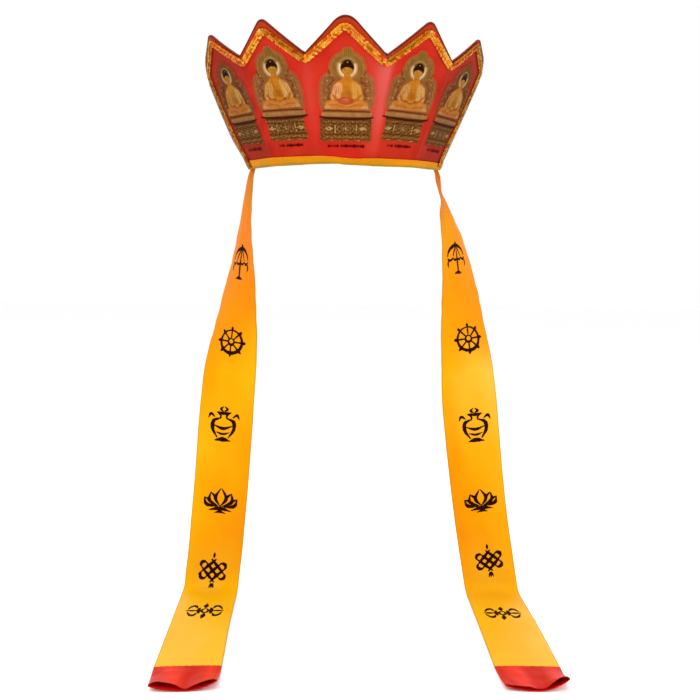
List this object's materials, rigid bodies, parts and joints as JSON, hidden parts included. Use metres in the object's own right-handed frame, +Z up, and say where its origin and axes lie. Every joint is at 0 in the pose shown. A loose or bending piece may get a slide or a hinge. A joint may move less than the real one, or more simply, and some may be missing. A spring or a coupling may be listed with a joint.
{
  "type": "monk hat",
  "caption": "Ceremonial monk's hat: a flared satin crown band with five points, a braided top edge, a bound lower edge and a long ribbon hanging from each lower corner.",
  "frame": {"origin": "on the axis of the head hollow, level with the middle of the band's lower edge at the front", "axes": "+Z up, the front faces -Y, the wearer's left is at +X"},
  "size_m": [0.3879, 0.2623, 0.6108],
  "materials": {
    "crown_satin": "satin",
    "binding_satin": "satin",
    "gold_braid": "metallic thread",
    "ribbon_satin": "satin",
    "end_satin": "satin"
  },
  "bodies": {
    "root": {"crown_band": "crown_satin", "bottom_binding": "binding_satin", "edge_braid": "gold_braid", "ribbon_left": "ribbon_satin", "ribbon_right": "ribbon_satin", "ribbon_end_left": "end_satin", "ribbon_end_right": "end_satin"}
  },
  "joints": []
}
